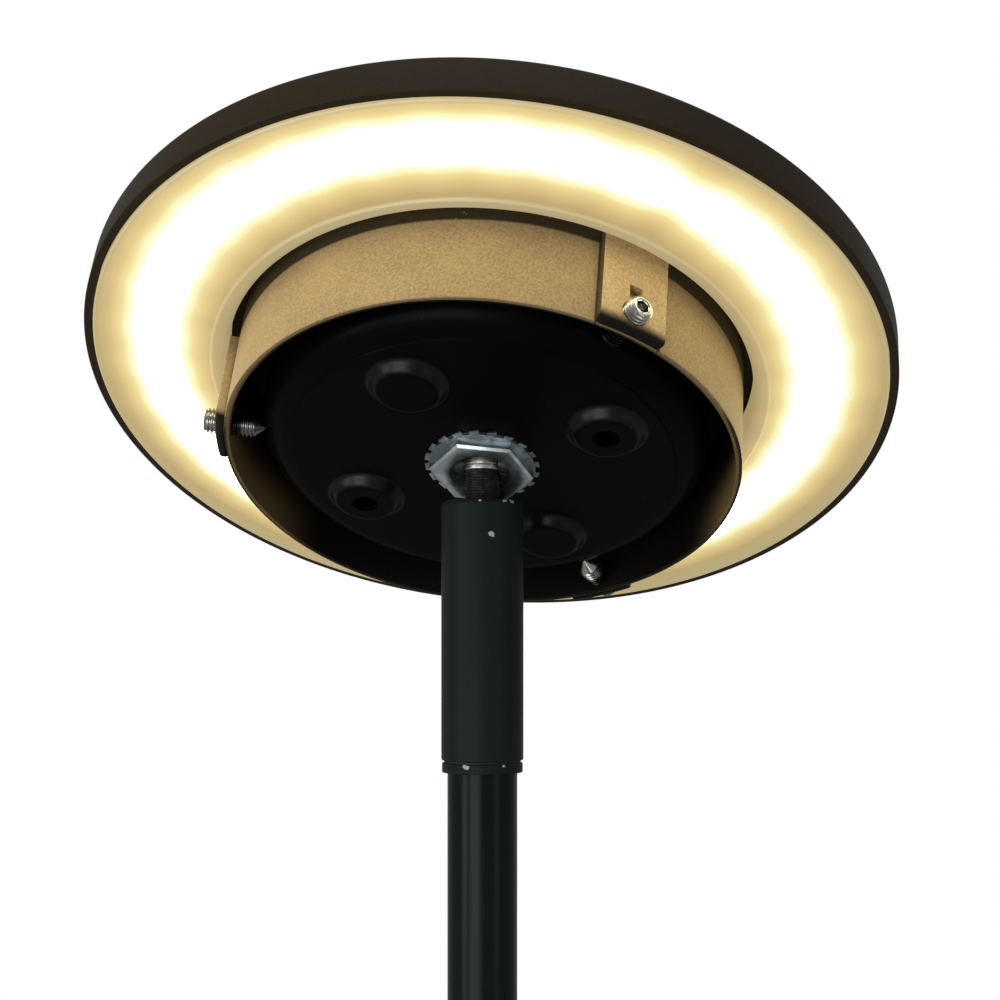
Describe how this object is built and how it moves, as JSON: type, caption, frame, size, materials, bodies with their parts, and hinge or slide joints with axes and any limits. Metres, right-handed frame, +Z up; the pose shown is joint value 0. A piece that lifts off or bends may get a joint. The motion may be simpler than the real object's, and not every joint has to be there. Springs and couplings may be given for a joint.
{
  "type": "garden spike light",
  "caption": "Garden light: a ring-lit round head on a tilting knuckle, over a slim tube pole with a ground flange and a finned spike",
  "frame": {"origin": "on the pole's axis at the ground line, where the hub's ground flange meets the soil", "axes": "+Z up along the pole; the head leans about X, its high side toward -Y; +X is to the right of someone who faces the light ring"},
  "size_m": [0.2, 0.1777, 0.8062],
  "materials": {
    "shell_coat": "die-cast, matt warm black powder coat",
    "drum_coat": "powder coat, fine grain, dark bronze",
    "canopy_coat": "powder coat, matt black",
    "pole_coat": "satin black lacquer",
    "tube_coat": "gloss black lacquer",
    "opal": "opal, moulded, satin",
    "zinc": "bright zinc plate",
    "dark_screw": "black oxide",
    "board_white": "white solder mask",
    "led_yellow": "phosphor over LED chips",
    "black_rubber": "moulded rubber",
    "black_plastic": "moulded, fine texture",
    "white_plastic": "moulded, plain",
    "foam": "foam tape"
  },
  "bodies": {
    "pole": {"spike": "black_plastic", "spike_bolt": "zinc", "spike_nut": "zinc", "hub": "black_plastic", "hub_screws": "dark_screw", "cable_grommet": "black_rubber", "tube": "tube_coat", "pole_screws": "dark_screw", "collar": "pole_coat", "groove_ring": "black_rubber", "sleeve": "pole_coat"},
    "stem": {"swivel_stud": "zinc", "stud_washer": "zinc", "stud_nut": "zinc"},
    "head": {"shell": "shell_coat", "led_board": "board_white", "leds": "led_yellow", "board_screws": "zinc", "diffuser": "opal", "outer_seal": "black_rubber", "inner_seal": "black_rubber", "drum": "drum_coat", "flange_screws": "zinc", "bracket_1": "drum_coat", "bracket_2": "drum_coat", "bracket_3": "drum_coat", "grub_screws": "zinc", "canopy": "canopy_coat", "lock_washer": "zinc", "hex_nut": "zinc", "swivel_socket": "zinc", "pivot_pins": "zinc", "friction_pads": "black_plastic", "socket_cap": "zinc", "driver": "white_plastic", "terminal_block": "white_plastic", "adhesive_pads": "foam"}
  },
  "joints": [
    {"name": "pan", "type": "hinge", "parent": "pole", "child": "stem", "pos_m": [0, 0, 0.5], "axis": [0, 0, 1], "range_deg": [-170, 170]},
    {"name": "tilt", "type": "hinge", "parent": "stem", "child": "head", "pos_m": [0, 0, 0.54], "axis": [1, 0, 0], "range_deg": [0, 60]}
  ]
}
